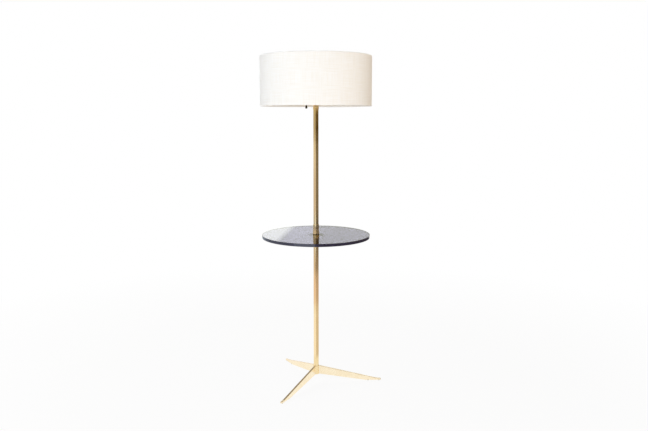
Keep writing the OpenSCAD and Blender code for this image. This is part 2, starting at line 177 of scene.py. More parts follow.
def brushed_brass():
    """Brushed plate: the lines follow the blade, by the 'along' attribute that each leg carries."""
    made, tree, shader = material("brushed_plate_brass", BRASS_LIGHT, 0.3, Metallic=1.0)
    coords = add(tree, "ShaderNodeAttribute", attribute_name="along").outputs["Vector"]
    # The legs' tones are paler than the other brass: a painted brightness for the light that the blades
    # catch.
    drift(tree, shader, coords, "#fff3d8", "#fbe7c0", (0.22, 0.32), size_mm=30)
    strokes = scaled(tree, coords, (45, 0.6, 0.6))
    lines = add(tree, "ShaderNodeTexNoise", {"Vector": strokes, "Scale": 1.0, "Detail": 4.0})
    relief(tree, shader, lines, 0.01)
    return made


def turned_brass():
    """Lathe work: the tool leaves rings, so the height of the surface changes along Z alone."""
    made, tree, shader = material("turned_brass", BRASS_LIGHT, 0.2, Metallic=1.0)
    coords = add(tree, "ShaderNodeTexCoord").outputs["Object"]
    drift(tree, shader, coords, BRASS_LIGHT, BRASS_DEEP, (0.14, 0.26), size_mm=20)
    rings = add(tree, "ShaderNodeTexNoise", {"Vector": scaled(tree, coords, (400, 400, 0.5)), "Scale": 1.0})
    relief(tree, shader, rings, 0.005)
    return made


DRAWN = drawn_brass()
BRUSHED = brushed_brass()
TURNED = turned_brass()
print("brass finishes:", DRAWN.name, BRUSHED.name, TURNED.name)

# %% [markdown]
# ## Smoked glass
# The table top is float glass tinted grey-violet through its thickness. Seen from above it is a dark
# window that mirrors the room; at the rim the eye looks along hundreds of millimetres of tint, so the
# polished edge is almost black. The edge is therefore a material of its own.

# %% Glass
def smoked_glass():
    """Tinted float glass: clear and smooth, with a film of dust that only roughens it a little."""
    made, tree, shader = material("smoked_float_glass", "#5f5e71", 0.02, Transmission_Weight=1.0, IOR=1.5)
    coords = add(tree, "ShaderNodeTexCoord").outputs["Object"]
    dust = add(tree, "ShaderNodeTexNoise", {"Vector": coords, "Scale": 1000 / 70, "Detail": 6.0})
    film = add(tree, "ShaderNodeMapRange", [dust, 0.4, 0.75, 0.01, 0.05])
    tree.links.new(film.outputs["Result"], shader.inputs["Roughness"])
    return made


def glass_edge():
    """The polished edge: grinding and polishing leave faint ripples a few millimetres long."""
    made, tree, shader = material("polished_glass_edge", "#2a2636", 0.08, IOR=1.5, Coat_Weight=0.5)
    coords = add(tree, "ShaderNodeTexCoord").outputs["Object"]
    depth = add(tree, "ShaderNodeTexNoise", {"Vector": scaled(tree, coords, (25, 25, 4)), "Scale": 1.0})
    toned(tree, shader, depth, "#1d1a28", "#39344a")
    relief(tree, shader, depth, 0.02)
    return made


SMOKED = smoked_glass()
EDGE = glass_edge()

# %% [markdown]
# ## Lathe work
# Most of this lamp was turned, spun or drawn, so most of its pieces are an outline swept round an
# axis. One function does that. A second rounds the outline's corners first, because a turned edge is
# always broken with a file, and that thin bright line is what makes metal look real.

# %% Lathe helpers
HOLD = 0.3 * MM
SHALLOW = math.radians(20)
LARGEST_SHARE = 0.45


def soften(outline, radius_mm, steps=3, closed=True):
    """Replaces each corner of a (radius, height) outline by a short curve.

    A point just beyond each curve keeps the long flats flat: without it, smooth shading would bend the
    whole of a tube's reflection from one end to the other.
    """
    made = []
    count = len(outline)
    for i, corner in enumerate(outline):
        here = Vector(corner)
        if not closed and i in (0, count - 1):
            made.append(here)
            continue
        before = Vector(outline[i - 1]) - here
        after = Vector(outline[(i + 1) % count]) - here
        if math.pi - before.angle(after, math.pi) < SHALLOW:
            made.append(here)
            continue
        cut = min(radius_mm * MM, LARGEST_SHARE * before.length, LARGEST_SHARE * after.length)
        start, end = here + before.normalized() * cut, here + after.normalized() * cut
        if before.length > 4 * (cut + HOLD):
            made.append(start + before.normalized() * HOLD)
        for step in range(steps + 1):
            t = step / steps
            made.append(start * (1 - t) ** 2 + here * 2 * t * (1 - t) + end * t**2)
        if after.length > 4 * (cut + HOLD):
            made.append(end + after.normalized() * HOLD)
    return made


def finished(name, builder, materials, body, replaces=(), smooth_deg=35):
    """Makes a mesh object of a bmesh, gives it its materials and body, and prints what was made."""
    bmesh.ops.recalc_face_normals(builder, faces=builder.faces)
    mesh = bpy.data.meshes.new(name)
    builder.to_mesh(mesh)
    builder.free()
    made = bpy.data.objects.new(name, mesh)
    bpy.context.scene.collection.objects.link(made)
    for finish in materials:
        mesh.materials.append(finish)
    return dress(made, body, replaces, smooth_deg)


def dress(made, body, replaces=(), smooth_deg=35):
    """Smooths a piece's faces, says what it rides on and the nodes that it stands for."""
    made.data.shade_smooth()
    made.data.set_sharp_from_angle(angle=math.radians(smooth_deg))
    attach(made, body)
    if replaces:
        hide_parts(*replaces)
    size = [round(d * 1000, 1) for d in made.dimensions]
    print(f"{made.name}: {len(made.data.polygons)} faces, {size} mm, replaces {list(replaces)}")
    return made


def turned(outline, steps=96, at=(0, 0)):
    """A bmesh of a closed (radius, height) outline in metres, swept round a vertical axis."""
    builder = bmesh.new()
    rings = []
    for radius, height in outline:
        if radius < 1e-6:
            rings.append([builder.verts.new((at[0], at[1], height))] * steps)
            continue
        angles = [2 * math.pi * i / steps for i in range(steps)]
        spots = [(at[0] + radius * math.cos(a), at[1] + radius * math.sin(a), height) for a in angles]
        rings.append([builder.verts.new(spot) for spot in spots])
    for low, high in zip(rings, rings[1:] + rings[:1]):
        for i in range(steps):
            corners = [low[i], low[(i + 1) % steps], high[(i + 1) % steps], high[i]]
            corners = [c for k, c in enumerate(corners) if c is not corners[k - 1]]
            if len(corners) > 2:
                builder.faces.new(corners)
    return builder


def span(node):
    """(outer radius about the pole, lowest height, highest height) of a CAD node, in metres."""
    low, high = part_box(node)
    return max(high.x, -low.x, high.y, -low.y), low.z, high.z


def own_span(node):
    """(x, y, radius, lowest, highest) of a node that was turned about a vertical axis of its own."""
    low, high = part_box(node)
    return (low.x + high.x) / 2, (low.y + high.y) / 2, (high.x - low.x) / 2, low.z, high.z


# %% [markdown]
# ## Plain finishes
# The rest of the lamp is made of ordinary workshop materials. Each starts from its common name, and
# gets the one thing that gives it away: the crystal grain of zinc plating, the orange peel of baked
# enamel, the fibres of felt and of vulcanised board. The shade's linen gets its own cell later.

# %% Plain finishes
def grainy(name, light, deep, roughness, grain_mm, depth_mm, detail=3.0, **sockets):
    """A material whose tone and relief follow one noise with grains of a real size."""
    made, tree, shader = material(name, light, roughness, **sockets)
    coords = add(tree, "ShaderNodeTexCoord").outputs["Object"]
    grain = add(tree, "ShaderNodeTexNoise", {"Vector": coords, "Scale": 1000 / grain_mm, "Detail": detail})
    toned(tree, shader, grain, light, deep)
    relief(tree, shader, grain, depth_mm)
    return made


BRONZE = grainy("patinated_bronze", "#4a4436", "#2f2b24", 0.42, 3, 0.02, Metallic=1.0)
ZINC = grainy("zinc_plated_steel", "#c3c7cc", "#a9aeb4", 0.34, 2, 0.008, Metallic=1.0)
NICKEL = grainy("nickel_plated_brass", "#d2cfc6", "#bdb9ae", 0.25, 4, 0.004, Metallic=1.0)
ENAMEL = grainy("baked_white_enamel", "#f1efe9", "#e8e5dc", 0.32, 1.5, 0.03, Coat_Weight=0.3)
RUBBER = grainy("moulded_black_rubber", "#232325", "#2c2c2e", 0.7, 1, 0.02)
NYLON = grainy("black_nylon", "#1d1d1f", "#272729", 0.45, 1.2, 0.02)
CLEAR_NYLON = grainy("natural_nylon", "#e9e4d6", "#ddd7c6", 0.4, 3, 0.01)
PHENOLIC = grainy("moulded_phenolic", "#33211a", "#26180f", 0.3, 2, 0.01)
FIBRE = grainy("vulcanised_fibre_board", "#9a7c57", "#83663f", 0.8, 0.8, 0.04)
LEAD = grainy("white_pvc_insulation", "#e7e2d2", "#dcd6c4", 0.5, 3, 0.01)
FELT = grainy("black_wool_felt", "#26262a", "#3a3a40", 0.95, 0.5, 0.15, detail=6.0, Sheen_Weight=0.4)
OPAL = grainy("opal_glass", "#f6f4ee", "#eceae2", 0.28, 12, 0.004, Coat_Weight=0.6)

# The lining gets a faint warm emission, a painted glow that stands in for the daylight that the thin
# shade lets through. Its cream tone is partly the styrene's own and partly painted warmth for that light.
PAINTED_GLOW = {"Emission_Color": linear("#ffeaca"), "Emission_Strength": 0.2}
STYRENE = grainy("styrene_lining", "#fbf1dd", "#f5e8cf", 0.5, 5, 0.01, **PAINTED_GLOW)

# %% [markdown]
# ## Linen
# The shade is covered in plain-woven linen, ivory and quite opaque. Its threads cross one over, one
# under, which two sine waves along the cloth give: where their product is largest, a thread stands
# highest. Linen yarn is uneven, so some stretches of thread, called slubs, are thicker and a little
# darker. The real threads lie 0.6 mm apart, which no picture of the whole lamp can show, so they are
# drawn 1.4 mm apart. The pattern reads the cloth's own UV map, which is the flat strip in metres.

# %% Woven linen
THREAD_MM = 1.4
SLUB_MM = 75


def woven_linen():
    """Two crossing sets of threads, with slubs along both."""
    sheen = {"Sheen_Weight": 0.1, "Sheen_Roughness": 0.5}
    made, tree, shader = material("woven_ivory_linen", "#faf8f5", 0.9, **sheen)
    flat = add(tree, "ShaderNodeUVMap", uv_map="cloth")
    turns = {0: flat, "Scale": math.pi / (THREAD_MM * MM)}
    phase = add(tree, "ShaderNodeVectorMath", turns, operation="SCALE")
    waves = add(tree, "ShaderNodeVectorMath", [phase], operation="SINE")
    waves = add(tree, "ShaderNodeSeparateXYZ", [waves])
    crossing = add(tree, "ShaderNodeMath", [waves.outputs[0], waves.outputs[1]], operation="MULTIPLY")
    thread = add(tree, "ShaderNodeMath", [crossing], operation="ABSOLUTE")
    warp, weft = (
        add(tree, "ShaderNodeTexNoise", {"Vector": scaled(tree, flat, spacing), "Scale": 1.0, "Detail": 1.0})
        for spacing in ((THREAD_MM * 2, SLUB_MM, 1), (SLUB_MM, THREAD_MM * 2, 1))
    )
    slubs = add(tree, "ShaderNodeMath", [warp, weft], operation="ADD")
    fade = add(tree, "ShaderNodeMapRange", [slubs, 0.75, 1.3, 0.0, 1.0])
    toned(tree, shader, fade, "#fcfbf9", "#f7f4ee")
    relief(tree, shader, add(tree, "ShaderNodeMath", [thread, slubs], operation="ADD"), 0.05)
    return made


LINEN = woven_linen()
print("linen threads", THREAD_MM, "mm apart, slubs", SLUB_MM, "mm long")

# %% [markdown]
# The record names a finish for each node. The nodes keep their meshes, so they get their material here,
# and the pieces made below take theirs from the same list.

# %% Finishes by slot
FINISHES = {
    "polished_brass": DRAWN, "satin_brass": TURNED, "dark_bronze": BRONZE, "smoked_glass": SMOKED,
    "opal_glass": OPAL, "ivory_linen": LINEN, "styrene_lining": STYRENE, "white_steel": ENAMEL,
    "zinc_steel": ZINC, "plated_thread": NICKEL, "black_felt": FELT, "black_rubber": RUBBER,
    "black_nylon": NYLON, "clear_nylon": CLEAR_NYLON, "phenolic": PHENOLIC, "fibre_board": FIBRE,
    "lead_insulation": LEAD,
}
for part in frame["record"]["subparts"]:
    node = NODES[part["node"]]
    node.data.materials.clear()
    node.data.materials.append(FINISHES[part["material_slot"]])

# %% [markdown]
# ## The pole
# Two casing tubes and the turned pieces between them hide a threaded pipe that pulls the stack
# together. Each tube's ends were filed, so a hairline shows wherever two pieces meet.

# %% Casing tubes
PIPE_HOLE_R = 5.1 * MM
SPIGOT_R = 9.45 * MM
TUBE_WALL = 1.5 * MM
POLE_R = span("pole_lower")[0]

for half in ("lower", "upper"):
    radius, low, high = span(f"pole_{half}")
    outline = [(radius - TUBE_WALL, low), (radius, low), (radius, high), (radius - TUBE_WALL, high)]
    tube = turned(soften(outline, 0.4))
    finished(f"casing_tube_{half}", tube, [DRAWN], "stand", [f"pole_{half}"])

# %% [markdown]
# The neck collar under the lights is a plain ring with one turned groove. The collar on the table
# flares to a small foot, and its curve is a quarter of a sine wave, which leaves the pole tangentially.

# %% Neck collar and table collar
def neck_outline():
    radius, low, high = span("neck_collar")
    foot = span("pole_upper")[2]
    groove, depth = foot + 7 * MM, 0.5 * MM
    return [
        (PIPE_HOLE_R, low), (SPIGOT_R, low), (SPIGOT_R, foot), (radius, foot), (radius, groove),
        (radius - depth, groove + depth), (radius - depth, groove + 2 * depth), (radius, groove + 3 * depth),
        (radius, high), (PIPE_HOLE_R, high),
    ]


def collar_outline():
    radius, low, high = span("table_collar")
    top_r, bead, flare, floor_t = 12.5 * MM, 2 * MM, 24 * MM, 4 * MM
    curve = [
        (top_r + (radius - top_r) * (1 - math.sin(math.pi / 2 * t / 16)), low + bead + flare * t / 16)
        for t in range(17)
    ]
    inside = [(POLE_R, high), (POLE_R, low + floor_t), (PIPE_HOLE_R, low + floor_t)]
    return [(PIPE_HOLE_R, low), (radius, low), *curve, (top_r, high), *inside]


neck = turned(soften(neck_outline(), 0.6))
finished("neck_ring", neck, [TURNED], "stand", ["neck_collar"])
cup = turned(soften(collar_outline(), 0.5))
finished("table_cup", cup, [DRAWN], "stand", ["table_collar"])

# %% [markdown]
# ## The table
# The glass lies on a trumpet-shaped flange and is clamped by the collar, with rubber between. Its rim
# was ground flat, its two edges were broken at 45 degrees, and everything was polished.

# %% Flange under the glass
def flange_outline():
    radius, low, high = span("table_flange")
    neck_r, sweep, plate = 12.5 * MM, 10 * MM, 4 * MM
    foot = span("pole_lower")[2]
    turns = [math.radians(15 * i) for i in range(7)]
    trumpet = [
        (neck_r + sweep * (1 - math.cos(t)), high - plate - sweep * (1 - math.sin(t))) for t in turns
    ]
    return [
        (PIPE_HOLE_R, low), (SPIGOT_R, low), (SPIGOT_R, foot), (neck_r, foot), *trumpet,
        (radius - 1 * MM, high - plate / 2), (radius, high - plate / 4), (radius, high), (PIPE_HOLE_R, high),
    ]


plate = turned(soften(flange_outline(), 0.5))
finished("table_plate", plate, [TURNED], "stand", ["table_flange"])

# %% Glass top
ARRIS = 1.0 * MM
HOLE_R = 9 * MM
SEAT_R = 14.45 * MM
SEAT_DEPTH = 0.4 * MM

radius, low, high = span("table_glass")
flat_r = radius - ARRIS
glass = turned([
    (HOLE_R, low), (flat_r, low), (radius - ARRIS / 3, low + ARRIS / 3), (radius, low + ARRIS),
    (radius, high - ARRIS), (radius - ARRIS / 3, high - ARRIS / 3), (flat_r, high),
    (SEAT_R, high), (SEAT_R, high - SEAT_DEPTH), (HOLE_R, high - SEAT_DEPTH),
], steps=256)
for face in glass.faces:
    centre = face.calc_center_median()
    face.material_index = int(Vector((centre.x, centre.y)).length > flat_r - 1e-5)
finished("smoked_glass_top", glass, [SMOKED, EDGE], "stand", ["table_glass"], 25)

# %% [markdown]
# ## Geometry Nodes
# The legs, the bead chains, the felt pads and the small repeated details follow rules, so node trees
# make them. Each tree has named inputs for its sizes. Its result is turned into a plain mesh, and the
# modifier is removed, so that what the rest of the script sees is an ordinary piece.

# %% Tree helpers
SOCKETS = {float: "NodeSocketFloat", int: "NodeSocketInt"}


def start_tree(name, **defaults):
    """A new geometry tree with these named inputs, and its input sockets by name."""
    tree = bpy.data.node_groups.new(name, "GeometryNodeTree")
    for label, value in defaults.items():
        kind = SOCKETS[type(value)]
        socket = tree.interface.new_socket(label.replace("_", " "), in_out="INPUT", socket_type=kind)
        socket.default_value = value
    tree.interface.new_socket("Material", in_out="INPUT", socket_type="NodeSocketMaterial")
    tree.interface.new_socket("Geometry", in_out="OUTPUT", socket_type="NodeSocketGeometry")
    return tree, tree.nodes.new("NodeGroupInput").outputs


def end_tree(tree, inputs, geometry):
    """Realizes every instance and gives the result its material."""
    whole = add(tree, "GeometryNodeRealizeInstances", {"Geometry": geometry})
    painted = add(tree, "GeometryNodeSetMaterial", {"Geometry": whole, "Material": inputs["Material"]})
    add(tree, "NodeGroupOutput", {"Geometry": painted})


def moved(tree, geometry, place, **settings):
    """A geometry moved by a place's X, Y and Z."""
    spot = add(tree, "ShaderNodeCombineXYZ", place)
    return add(tree, "GeometryNodeTransform", {"Geometry": geometry, "Translation": spot, **settings})


def around(tree, geometry, count, start=0.0):
    """Copies of a geometry turned about the pole, evenly spaced from a start angle."""
    spots = add(tree, "GeometryNodePoints", {"Count": count})
    share = add(tree, "ShaderNodeMath", [add(tree, "GeometryNodeInputIndex"), count], operation="DIVIDE")
    angle = add(tree, "ShaderNodeMath", [share, 2 * math.pi, start], operation="MULTIPLY_ADD")
    turn = add(tree, "ShaderNodeCombineXYZ", {"Z": angle})
    placed = {"Points": spots, "Instance": geometry, "Rotation": turn}
    return add(tree, "GeometryNodeInstanceOnPoints", placed)


def grown(name, tree, finish, body, slot, replaces=(), turn=0, smooth_deg=35, **sizes):
    """Runs a tree with these sizes and keeps its result, turned about the pole, as a plain mesh."""
    host = bpy.data.objects.new(name, bpy.data.meshes.new(name))
    bpy.context.scene.collection.objects.link(host)
    modifier = host.modifiers.new(name, "NODES")
    modifier.node_group = tree
    values = {"Material": finish, **{label.replace("_", " "): value for label, value in sizes.items()}}
    for socket in tree.interface.items_tree:
        if socket.in_out == "INPUT" and socket.name in values:
            modifier[socket.identifier] = values[socket.name]
    seen = host.evaluated_get(bpy.context.evaluated_depsgraph_get())
    mesh = bpy.data.meshes.new_from_object(seen)
    host.modifiers.remove(modifier)
    host.data = mesh
    mesh.transform(Matrix.Rotation(math.radians(turn), 4, "Z"))
    return dress(host, body, replaces, smooth_deg)

# %% [markdown]
# ## The legs
# Each leg is a blade cut from 8 mm plate: straight along the back, tapering from the hub's full height
# to a thin toe, and flat under the foot. A grid two points high holds its side view: the tree moves
# the lower row to the sole's height and the upper row to the back's, then gives the sheet its
# thickness. The heights are straight lines of the distance from the pole, so a Map Range gives each.
# The toe's corners were filed round. There the sole rises and the back falls by the same circle, and
# the grid's columns lie closer together towards the toe, so that the curve stays smooth. A narrow
# bevel then takes the sharpness off every edge, as a file and emery do.

# %% Blade tree
def blade_tree():
    tree, size = start_tree(
        "leg_blade", Thickness=0.008, Root=0.009, Hub_Radius=0.012, Hub_Low=0.031, Hub_High=0.068,
        Heel=0.215, Sole=0.0015, Knee=0.2625, Knee_Height=0.0098, Toe=0.2825, Toe_Height=0.008, Round=0.002,
    )
    columns = {"Size X": 1.0, "Size Y": 1.0, "Vertices X": 90, "Vertices Y": 2}
    grid = add(tree, "GeometryNodeMeshGrid", columns)
    place = add(tree, "ShaderNodeSeparateXYZ", [add(tree, "GeometryNodeInputPosition")])
    left = add(tree, "ShaderNodeMapRange", [place.outputs["X"], -0.5, 0.5, 1.0, 0.0])
    squeezed = add(tree, "ShaderNodeMath", [left, left], operation="MULTIPLY")
    reach = add(tree, "ShaderNodeMapRange", [squeezed, 1.0, 0.0, size["Root"], size["Toe"]])

    # How far a point lies past the start of the toe's curve, and what the curve takes off there.
    past = add(tree, "ShaderNodeMath", [size["Toe"], size["Round"]], operation="SUBTRACT")
    past = add(tree, "ShaderNodeMath", [reach, past], operation="SUBTRACT")
    past = add(tree, "ShaderNodeMath", [past, 0.0], operation="MAXIMUM")
    past = add(tree, "ShaderNodeMath", [past, past], operation="MULTIPLY")
    square = add(tree, "ShaderNodeMath", [size["Round"], size["Round"]], operation="MULTIPLY")
    square = add(tree, "ShaderNodeMath", [square, past], operation="SUBTRACT")
    square = add(tree, "ShaderNodeMath", [square, 0.0], operation="MAXIMUM")
    left_over = add(tree, "ShaderNodeMath", [square], operation="SQRT")
    cut = add(tree, "ShaderNodeMath", [size["Round"], left_over], operation="SUBTRACT")

    drop = add(tree, "ShaderNodeMath", [size["Knee Height"], size["Toe Height"]], operation="SUBTRACT")
    sole, back, tip = (
        add(tree, "ShaderNodeMapRange", [reach, start, end, first, last])
        for start, end, first, last in (
            (size["Hub Radius"], size["Heel"], size["Hub Low"], size["Sole"]),
            (size["Hub Radius"], size["Knee"], size["Hub High"], size["Knee Height"]),
            (size["Knee"], size["Toe"], 0.0, drop),
        )
    )
    low = add(tree, "ShaderNodeMath", [sole, cut], operation="ADD")
    high = add(tree, "ShaderNodeMath", [back, tip], operation="SUBTRACT")
    high = add(tree, "ShaderNodeMath", [high, cut], operation="SUBTRACT")
    height = add(tree, "ShaderNodeMapRange", [place.outputs["Y"], -0.5, 0.5, low, high])
    half = add(tree, "ShaderNodeMath", [size["Thickness"], 0.5], operation="MULTIPLY")
    spot = add(tree, "ShaderNodeCombineXYZ", {"X": reach, "Y": half, "Z": height})
    side = add(tree, "GeometryNodeSetPosition", {"Geometry": grid, "Position": spot})
    back_to_front = add(tree, "ShaderNodeMath", [size["Thickness"], -1.0], operation="MULTIPLY")
    through = add(tree, "ShaderNodeCombineXYZ", {"Y": back_to_front})
    pulled = {"Mesh": side, "Offset": through, "Offset Scale": 1.0, "Individual": False}
    thick = add(tree, "GeometryNodeExtrudeMesh", pulled)
    both = add(tree, "GeometryNodeJoinGeometry", [thick])
    tree.links.new(add(tree, "GeometryNodeFlipFaces", {"Mesh": side}).outputs[0], both.inputs[0])
    closed = add(tree, "GeometryNodeMergeByDistance", {"Geometry": both, "Distance": 1e-6})
    stored = {"Geometry": closed, "Name": "along", "Value": add(tree, "GeometryNodeInputPosition")}
    along = add(tree, "GeometryNodeStoreNamedAttribute", stored, data_type="FLOAT_VECTOR", domain="POINT")
    end_tree(tree, size, along)
    return tree

# %% Legs
BLADE = blade_tree()
for side, azimuth in SIDES.items():
    name, stands_for = f"leg_blade_{side}", [f"leg_{side}"]
    blade = grown(name, BLADE, BRUSHED, "stand", "polished_brass", stands_for, azimuth, 180)
    bevel = blade.modifiers.new("broken_edges", "BEVEL")
    bevel.width = 0.8 * MM
    bevel.segments = 3
    bevel.limit_method = "ANGLE"
    bevel.angle_limit = math.radians(40)
    bevel.use_clamp_overlap = False
    bevel.harden_normals = True

# %% [markdown]
# ## The hub
# The three blades meet in a short turned hub and are brazed there. The node has the right shape, so a
# copy of it is used, with its triangles merged into whole faces that shade evenly. The braze shows as a
# narrow fillet in each of the six inside corners.

# %% Hub
def merged_copy(node):
    """A bmesh of a CAD node with its triangles joined into whole faces."""
    builder = bmesh.new()
    builder.from_mesh(NODES[node].data)
    bmesh.ops.remove_doubles(builder, verts=builder.verts, dist=1e-6)
    whole = {"verts": builder.verts, "edges": builder.edges}
    bmesh.ops.dissolve_limit(builder, angle_limit=math.radians(1), **whole)
    return builder


hub = finished("hub_turned", merged_copy("hub"), [TURNED], "stand", ["hub"], 30)
print("hub edges:", len(hub.data.edges))

# %% Braze fillets
def fillet_tree():
    """Six slim strips, a pair at each blade."""
    tree, size = start_tree(
        "braze_fillets", Radius=0.0115, Half_Gap=0.004, Low=0.0315, Height=0.036, Width=0.0012,
    )
    bar = {"Vertices": 10, "Radius": size["Width"], "Depth": size["Height"]}
    bar = add(tree, "GeometryNodeMeshCylinder", bar)
    half = [size["Height"], 0.5, size["Low"]]
    middle = add(tree, "ShaderNodeMath", half, operation="MULTIPLY_ADD")
    both = add(tree, "GeometryNodeJoinGeometry")
    for direction in (-1.0, 1.0):
        across = add(tree, "ShaderNodeMath", [size["Half Gap"], direction], operation="MULTIPLY")
        strip = moved(tree, bar, {"X": size["Radius"], "Y": across, "Z": middle})
        tree.links.new(strip.outputs[0], both.inputs[0])
    end_tree(tree, size, around(tree, both, 3))
    return tree


grown("braze_fillets", fillet_tree(), BRUSHED, "stand", "polished_brass")

# %% [markdown]
# ## The light cluster
# Above the neck everything was turned too: a cup with its lid, the coupling, the rod that the shade
# hangs on, and at each lamp holder a cap and a shell with a rolled rim. The sketches below are the
# turner's drawings, as (radius, height) in millimetres above the piece's own foot.

# %% Turned pieces on the pole's axis
def lathe(name, node, drawing, finish, break_mm=0.5, steps=64, body="stand"):
    """A turned piece from a drawing in millimetres, standing where its node stands."""
    x, y, _, foot, _ = own_span(node)
    outline = [(radius * MM, foot + height * MM) for radius, height in drawing]
    return finished(name, turned(soften(outline, break_mm), steps, (x, y)), [finish], body, [node])


PIPE = 5.1
CLUSTER_R = own_span("cluster_body")[2] / MM
CUP_H = 24
RISER_R = 4
SEAT_TOP = 6

lathe("cluster_cup", "cluster_body", [
    (PIPE, 0), (CLUSTER_R - 5, 0), (CLUSTER_R, 4), (CLUSTER_R, CUP_H), (CLUSTER_R - 2, CUP_H),
    (CLUSTER_R - 2, 5), (CLUSTER_R - 4, 3), (PIPE, 3),
], TURNED, 1.2, 96)
lathe("cluster_cap", "cluster_lid", [
    (PIPE, 0), (CLUSTER_R - 2.1, 0), (CLUSTER_R - 2.1, 2), (CLUSTER_R, 2), (CLUSTER_R, 3),
    (CLUSTER_R - 2, 5), (PIPE, 5),
], TURNED, 0.8, 96)
lathe("coupling_barrel", "riser_coupling", [
    (PIPE - 0.3, 0), (7, 0), (7, 6), (6.4, 6.8), (6.4, 9.2), (7, 10), (7, 16), (RISER_R, 16), (RISER_R, 8),
    (PIPE - 0.3, 8),
], TURNED)
_, _, _, riser_low, riser_high = own_span("riser")
RISER_H = (riser_high - riser_low) / MM
lathe("riser_rod", "riser", [(0, 0), (RISER_R, 0), (RISER_R, RISER_H), (0, RISER_H)], DRAWN)
lathe("spider_seat", "shade_seat", [
    (RISER_R, 0), (7, 0), (9, 3), (9, SEAT_TOP), (RISER_R, SEAT_TOP),
], TURNED)

# %% [markdown]
# The finial is the nut that holds the shade down. Its waist gives two fingers a grip, its foot is
# knurled, and its head is one soft curve, so its points are joined by a smooth spline.

# %% Finial
def smooth_curve(points, per_span=6):
    """A smooth line through (radius, height) points, by the Catmull-Rom rule."""
    made = []
    ends = [points[0], *points, points[-1]]
    for a, b, c, d in zip(ends, ends[1:], ends[2:], ends[3:]):
        for step in range(per_span):
            t = step / per_span
            made.append(tuple(
                q + 0.5 * t * (r - p + t * (2 * p - 5 * q + 4 * r - s + t * (3 * q - p - 3 * r + s)))
                for p, q, r, s in zip(a, b, c, d)
            ))
    return [*made, points[-1]]


HEAD = smooth_curve([(5.5, 5.5), (5.5, 7), (8, 9.5), (8.6, 12), (7.6, 15), (4.5, 17.4), (0, 18)])
lathe("finial_knob", "finial", [
    (RISER_R, 0), (7.8, 0), (7.8, 4), *HEAD, (0, 12), (RISER_R, 12),
], TURNED, 0.4)


def knurl_tree():
    """A ring of narrow upright ribs."""
    tree, size = start_tree("knurl", Count=36, Radius=0.0077, Height=0.003, Middle=1.375, Width=0.0005)
    rib = {"Vertices": 6, "Radius": size["Width"], "Depth": size["Height"]}
    rib = add(tree, "GeometryNodeMeshCylinder", rib)
    placed = moved(tree, rib, {"X": size["Radius"], "Z": size["Middle"]})
    end_tree(tree, size, around(tree, placed, size["Count"]))
    return tree


grown("finial_knurl", knurl_tree(), TURNED, "stand", "satin_brass", Middle=own_span("finial")[3] + 2 * MM)

# %% [markdown]
# ## Lamp holders and bulbs
# Three pull-chain holders stand on the bent arms. The cap is spun into a bell, the shell has a rolled
# bead at its rim, and the bulbs are opal globes that narrow to their necks by half a cosine wave.

# %% Lamp holders
CAP = [
    (4.85, 0), (7, 0), (7, 4), (10, 5.5), (14, 8.5), (16.3, 12.5), (17, 17), (16, 17), (15.3, 13),
    (13.2, 9.5), (9.5, 6.6), (4.85, 5.4),
]
SHELL_H = 40
SHELL = [
    (15.3, 0), (15.9, 0), (15.9, 9), (16.3, 9.6), (16.3, 10.4), (15.9, 11), (15.9, SHELL_H - 2.4),
    (16.5, SHELL_H - 1.2), (16.5, SHELL_H - 0.6), (15.9, SHELL_H), (15.3, SHELL_H),
]
BULB_NECK, BULB_BALL, BULB_SWELL, BULB_CENTRE = 14.3, 30, 8, 52


def bulb_drawing():
    """Neck, half a cosine wave out to the ball, and the ball's upper half."""
    swell = [
        (BULB_NECK + (BULB_BALL - BULB_NECK) * (1 - math.cos(math.pi * t / 20)) / 2,
         BULB_SWELL + (BULB_CENTRE - BULB_SWELL) * t / 20)
        for t in range(21)
    ]
    angles = [math.radians(6 * i) for i in range(1, 15)]
    ball = [(BULB_BALL * math.cos(a), BULB_CENTRE + BULB_BALL * math.sin(a)) for a in angles]
    return [(0, 0), (BULB_NECK, 0), *swell, *ball, (0, BULB_CENTRE + BULB_BALL)]


for side in SIDES:
    lathe(f"holder_cap_{side}", f"socket_cap_{side}", CAP, TURNED, 0.8)
    lathe(f"holder_shell_{side}", f"socket_shell_{side}", SHELL, TURNED, 0.3)
    lathe(f"opal_bulb_{side}", f"bulb_glass_{side}", bulb_drawing(), OPAL, 0.5, 72)

# %% [markdown]
# ## Pull chains
# Each chain is a row of hollow beads on short links, as every bead chain is. The tree places the beads
# at the chain's pitch below its top, so the chain's length decides their number. The bells are turned
# and blackened, with a hollow mouth.

